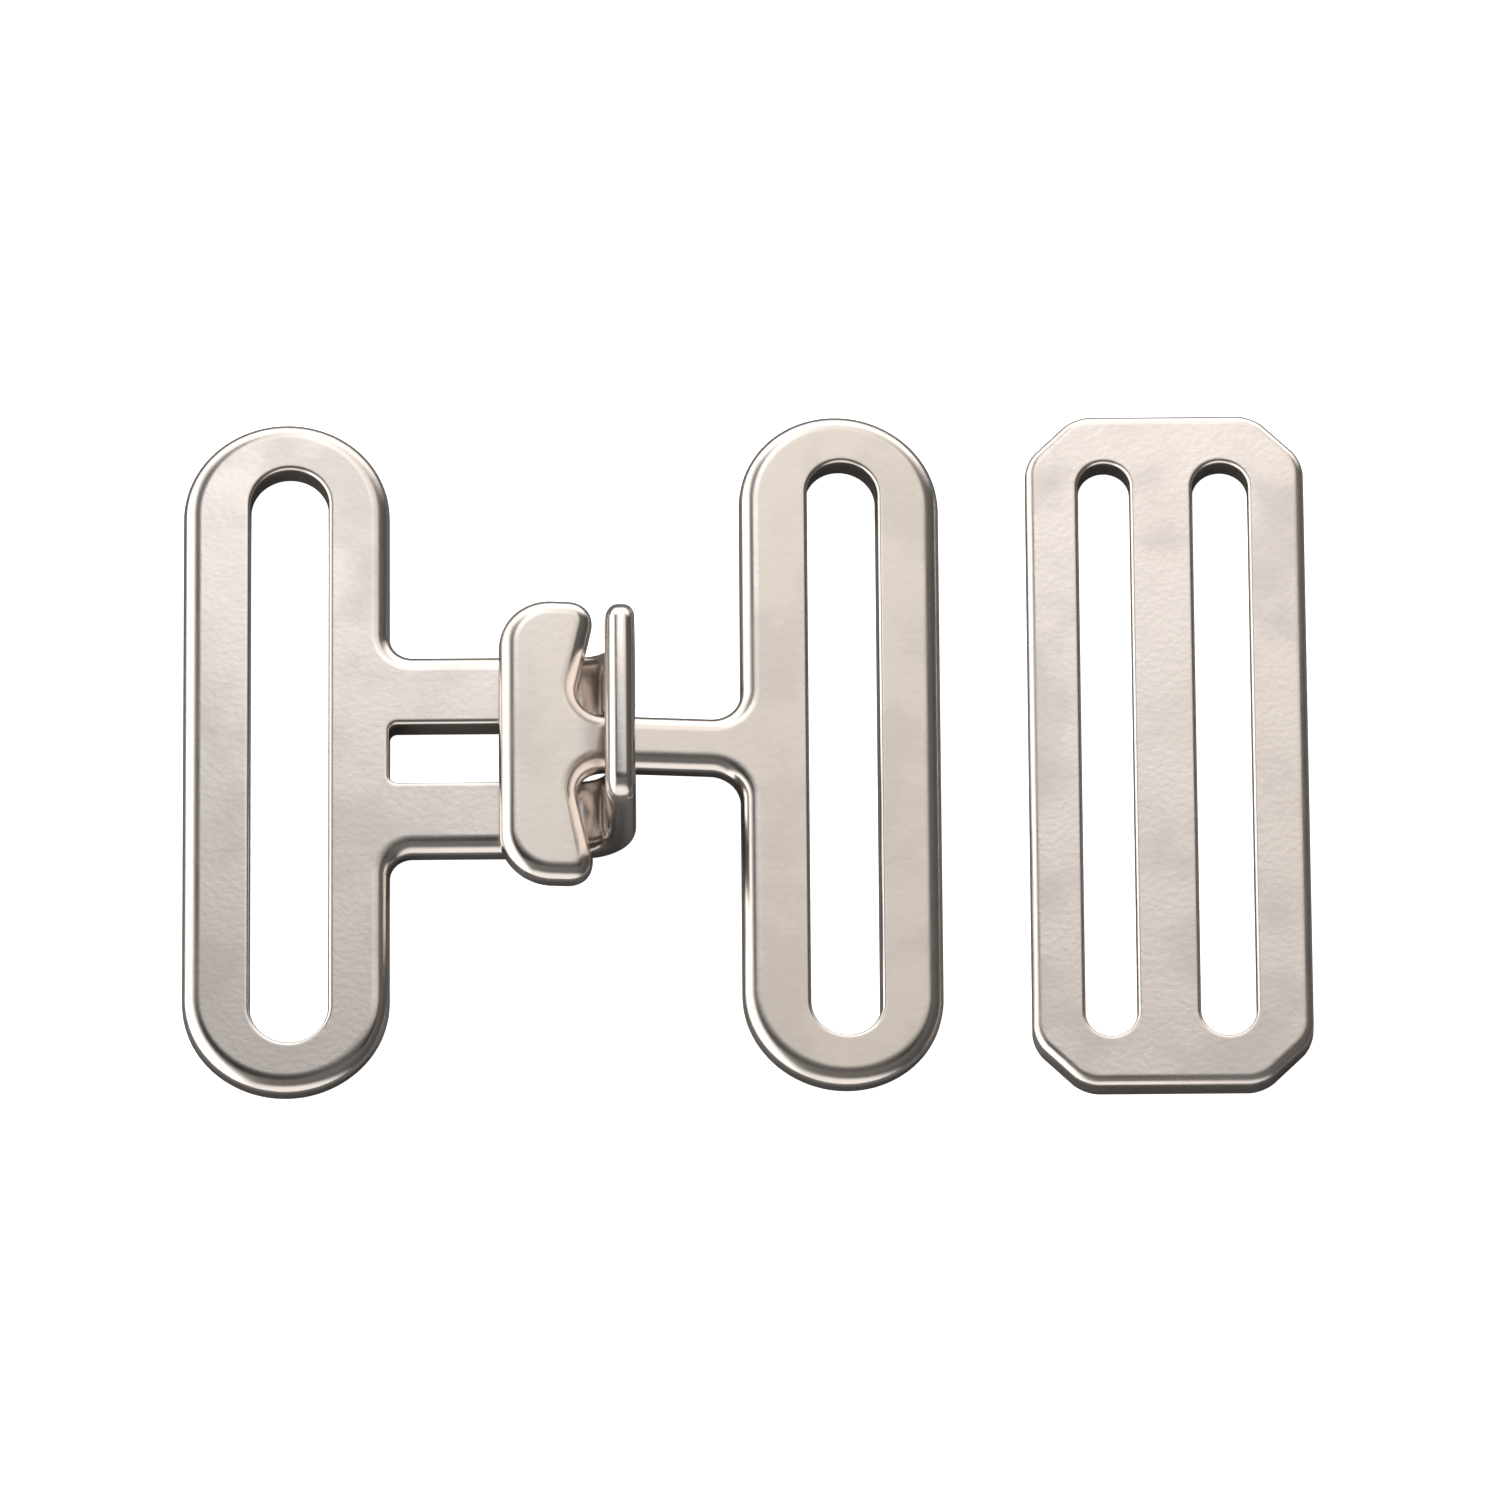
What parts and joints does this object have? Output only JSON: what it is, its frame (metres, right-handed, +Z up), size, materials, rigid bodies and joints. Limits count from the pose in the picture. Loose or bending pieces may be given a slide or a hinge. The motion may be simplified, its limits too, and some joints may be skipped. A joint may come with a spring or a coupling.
{
  "type": "webbing strap buckle set",
  "caption": "Stamped strap buckle for wide webbing: T-shaped hook caught in a slotted arch plate, with a three-bar slider to set the strap's length.",
  "frame": {"origin": "on the table, under the middle of the row of three pieces", "axes": "+X along the strap from the receiver to the slider, +Z up from the table, Y across the webbing"},
  "size_m": [0.0896, 0.059, 0.0128],
  "materials": {
    "bright_nickel": "tumbled and nickel plated steel, softly bright",
    "satin_nickel": "nickel plated steel with a satin, slightly rough face"
  },
  "bodies": {
    "receiver": {"receiver_plate": "bright_nickel"},
    "t_hook": {"t_hook_plate": "bright_nickel"},
    "slider": {"slider_plate": "satin_nickel"}
  },
  "joints": [
    {"name": "hook_slide", "type": "slide", "parent": "receiver", "child": "t_hook", "axis": [1, 0, 0], "range_m": [-0.0069, 0.0007]},
    {"name": "slider_travel", "type": "slide", "parent": "t_hook", "child": "slider", "axis": [1, 0, 0], "range_m": [-0.0065, 0.06]}
  ]
}
